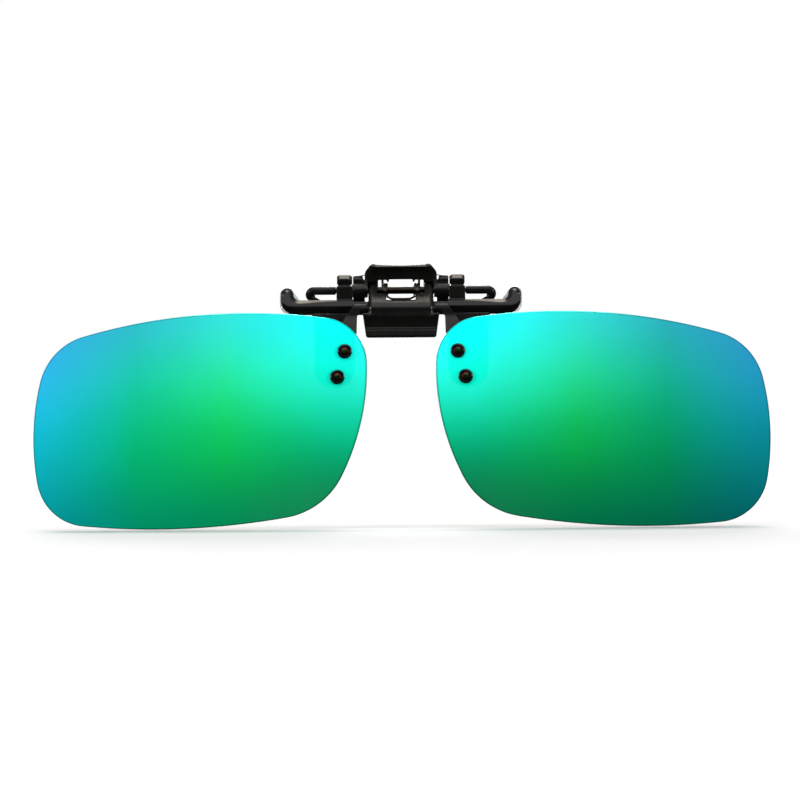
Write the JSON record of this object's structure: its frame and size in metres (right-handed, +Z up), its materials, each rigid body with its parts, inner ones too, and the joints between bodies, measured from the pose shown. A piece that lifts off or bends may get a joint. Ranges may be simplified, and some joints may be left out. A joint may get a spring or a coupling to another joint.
{
  "type": "clip-on sunglasses",
  "caption": "Flip-up clip-on sunglasses: rimless mirrored lenses screwed to brackets that hinge on a sprung black clip, which grips the top of ordinary glasses.",
  "frame": {"origin": "on the pinch axle, midway between the lenses, in the plane of the front pads' faces that the glasses' lenses seat against", "axes": "+X towards the wearer's left, +Y towards the wearer's face, +Z up; the lenses' mirrored faces look along -Y"},
  "size_m": [0.1328, 0.01, 0.0474],
  "materials": {
    "black_plastic": "satin black moulded plastic with a faint moulding grain",
    "clear_silicone": "translucent soft silicone",
    "black_sleeve": "glossy black shrunk sleeve",
    "mirror_lens": "tinted polarised plastic with a green to blue multilayer mirror on its front face",
    "black_nylon": "glossy black nylon",
    "screw_metal": "small turned screws and nuts, dark nickel with a warm tint",
    "spring_wire": "blackened spring wire",
    "dark_steel": "blackened steel pin and wire"
  },
  "bodies": {
    "clip": {"clip_base": "black_plastic", "front_pad_left": "clear_silicone", "front_pad_right": "clear_silicone", "torsion_spring": "spring_wire"},
    "lever": {"thumb_lever": "black_plastic", "axle_pin": "dark_steel", "prong_wire_left": "dark_steel", "prong_wire_right": "dark_steel", "prong_sleeve_left": "black_sleeve", "prong_sleeve_right": "black_sleeve"},
    "lenses": {"flip_shaft": "dark_steel", "lens_bracket_left": "black_plastic", "lens_bracket_right": "black_plastic", "lens_left": "mirror_lens", "lens_right": "mirror_lens", "upper_screw_left": "screw_metal", "upper_screw_right": "screw_metal", "lower_screw_left": "screw_metal", "lower_screw_right": "screw_metal", "upper_bush_left": "black_nylon", "upper_bush_right": "black_nylon", "lower_bush_left": "black_nylon", "lower_bush_right": "black_nylon", "upper_nut_left": "screw_metal", "upper_nut_right": "screw_metal", "lower_nut_left": "screw_metal", "lower_nut_right": "screw_metal"}
  },
  "joints": [
    {"name": "pinch", "type": "hinge", "parent": "clip", "child": "lever", "pos_m": [0, 0, 0], "axis": [1, 0, 0], "range_deg": [0, 28], "stiffness_Nm_per_rad": 0.02, "springref_deg": -34.38, "deforming": ["torsion_spring"]},
    {"name": "flip", "type": "hinge", "parent": "clip", "child": "lenses", "pos_m": [0, -0.0032, -0.00345], "axis": [-1, 0, 0], "range_deg": [0, 105]}
  ]
}
